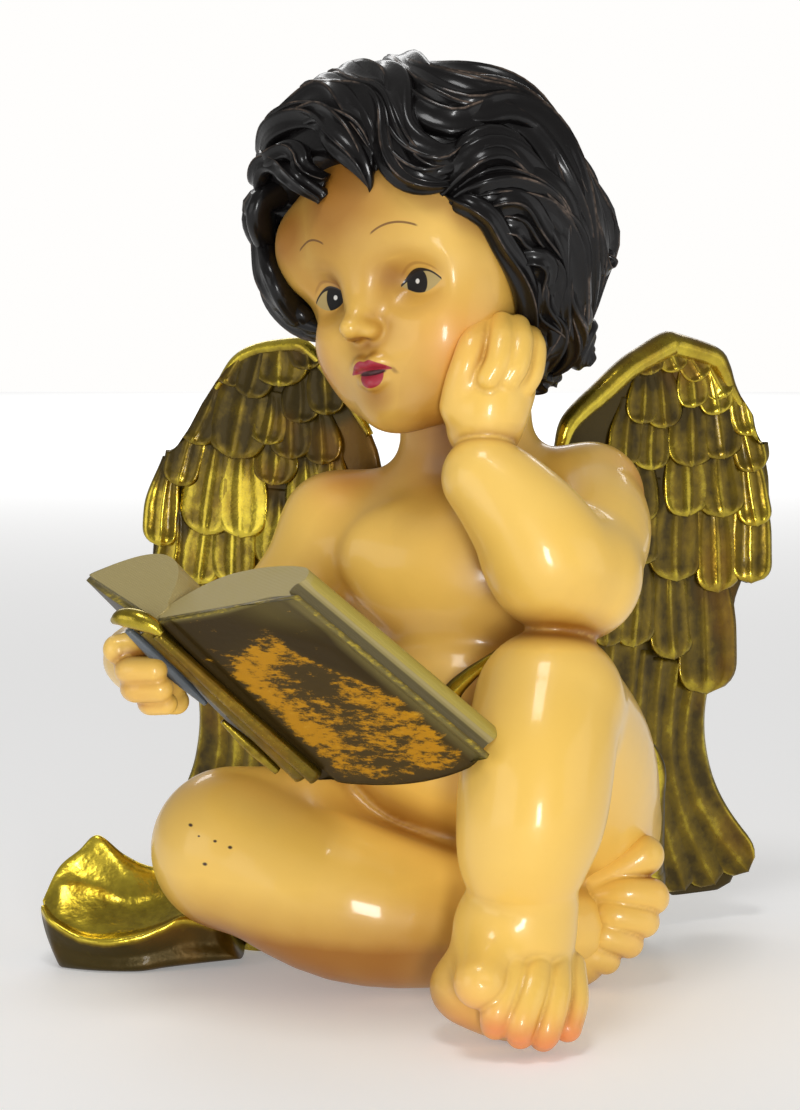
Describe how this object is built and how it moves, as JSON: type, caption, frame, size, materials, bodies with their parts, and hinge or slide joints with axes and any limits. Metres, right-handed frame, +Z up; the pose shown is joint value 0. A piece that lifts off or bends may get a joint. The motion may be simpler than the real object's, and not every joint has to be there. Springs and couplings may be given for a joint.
{
  "type": "cherub figurine",
  "caption": "Seated winged cherub reading an open book, chin in hand, in painted cast resin on gold drapery.",
  "frame": {"origin": "centre of the bounding box, on the ground under the figure", "axes": "+Z up, the figure looks towards -Y, its raised left knee on +X and its folded right knee on -X"},
  "size_m": [0.3064, 0.2328, 0.3685],
  "materials": {
    "skin": "glossy warm flesh paint over cast resin, airbrushed blush",
    "hair": "glossy black-brown paint with thin dry-brushed brown ridges",
    "gold": "bright gold paint with dark olive wash in the hollows",
    "book": "dark olive-brown paint with worn orange-gold patches and taupe page edges"
  },
  "bodies": {
    "root": {"cherub_statue": "skin"}
  },
  "joints": []
}
